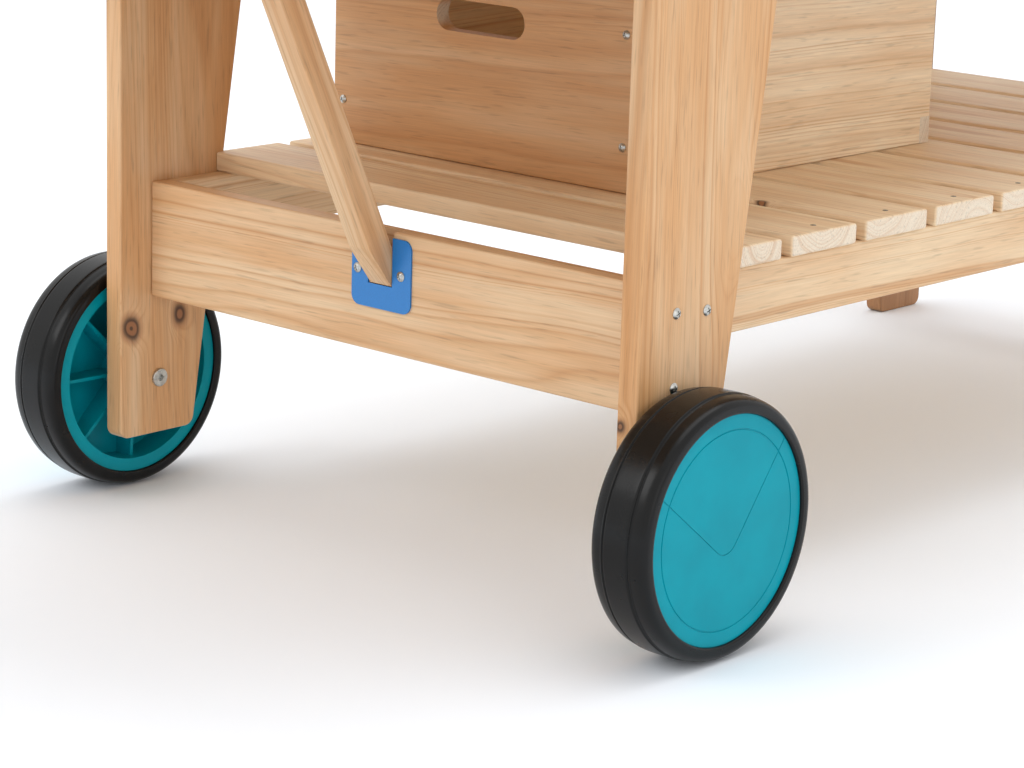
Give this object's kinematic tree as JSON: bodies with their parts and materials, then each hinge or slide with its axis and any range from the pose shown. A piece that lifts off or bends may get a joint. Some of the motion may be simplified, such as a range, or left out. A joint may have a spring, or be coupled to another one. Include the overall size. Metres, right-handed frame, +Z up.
{
  "type": "play cart",
  "caption": "Two-wheeled wooden play cart with slatted deck, counter, fold-over end leaf on a prop strut, loose crate and swing-down pull handle.",
  "frame": {"origin": "on the ground under the middle of the bounding box", "axes": "+Y along the cart from the wheel end to the leg end, +Z up, X across the cart along the wheel axle"},
  "size_m": [0.67, 1.5042, 0.567],
  "materials": {
    "pine": "planed, clear varnished softwood",
    "grip_wood": "sanded round bar",
    "teal_plastic": "moulded satin",
    "tyre_black": "moulded, half matt",
    "blue_plate": "powder coat",
    "zinc": "bright zinc plated"
  },
  "bodies": {
    "frame": {"axle_bolts": "zinc", "axle_nuts": "zinc", "axle_sleeves": "zinc", "counter_board_1": "pine", "counter_board_2": "pine", "counter_board_3": "pine", "counter_board_4": "pine", "deck_board_01": "pine", "deck_board_02": "pine", "deck_board_03": "pine", "deck_board_04": "pine", "deck_board_05": "pine", "deck_board_06": "pine", "deck_board_07": "pine", "deck_board_08": "pine", "deck_board_09": "pine", "deck_board_10": "pine", "frame_screws": "zinc", "handle_bolts": "zinc", "leaf_hinge_fixed_halves": "zinc", "leaf_hinge_pins": "zinc", "leg_end_rail": "pine", "leg_left": "pine", "leg_right": "pine", "side_rail_left": "pine", "side_rail_right": "pine", "strut_seat_plate": "blue_plate", "top_rail_leg_end": "pine", "top_rail_wheel_end": "pine", "top_side_rail_left": "pine", "top_side_rail_right": "pine", "wheel_end_rail": "pine", "wheel_post_left": "pine", "wheel_post_right": "pine"},
    "wheel_left": {"wheel_cap_left": "teal_plastic", "wheel_rim_left": "teal_plastic", "wheel_tyre_left": "tyre_black"},
    "wheel_right": {"wheel_cap_right": "teal_plastic", "wheel_rim_right": "teal_plastic", "wheel_tyre_right": "tyre_black"},
    "leaf": {"leaf_batten_left": "pine", "leaf_batten_right": "pine", "leaf_board_1": "pine", "leaf_board_2": "pine", "leaf_board_3": "pine", "leaf_hinge_moving_halves": "zinc", "leaf_screws": "zinc", "strut_bracket": "zinc", "strut_pin": "zinc"},
    "strut": {"prop_strut": "pine"},
    "crate": {"crate_back": "pine", "crate_bottom": "pine", "crate_front": "pine", "crate_screws": "zinc", "crate_side_left": "pine", "crate_side_right": "pine"},
    "handle": {"handle_arm_left": "pine", "handle_arm_right": "pine", "handle_grip": "grip_wood"}
  },
  "joints": [
    {"name": "wheel_left_spin", "type": "hinge", "parent": "frame", "child": "wheel_left", "pos_m": [-0.31, -0.37115, 0.0965], "axis": [1, 0, 0], "continuous": true},
    {"name": "wheel_right_spin", "type": "hinge", "parent": "frame", "child": "wheel_right", "pos_m": [0.31, -0.37115, 0.0965], "axis": [1, 0, 0], "continuous": true},
    {"name": "leaf_fold", "type": "hinge", "parent": "frame", "child": "leaf", "pos_m": [0, -0.41815, 0.56375], "axis": [-1, 0, 0], "range_deg": [0, 180]},
    {"name": "strut_fold", "type": "hinge", "parent": "leaf", "child": "strut", "pos_m": [-0.0002, -0.52965, 0.53], "axis": [-1, 0, 0], "range_deg": [0, 116]},
    {"name": "crate_slide", "type": "slide", "parent": "frame", "child": "crate", "axis": [1, 0, 0], "range_m": [0, 0.36]},
    {"name": "handle_swing", "type": "hinge", "parent": "frame", "child": "handle", "pos_m": [0, 0.70185, 0.5], "axis": [1, 0, 0], "range_deg": [0, 130]}
  ],
  "couplings": [
    {"joint": "strut_fold", "follows": "leaf_fold", "ratio": 0.6444}
  ]
}
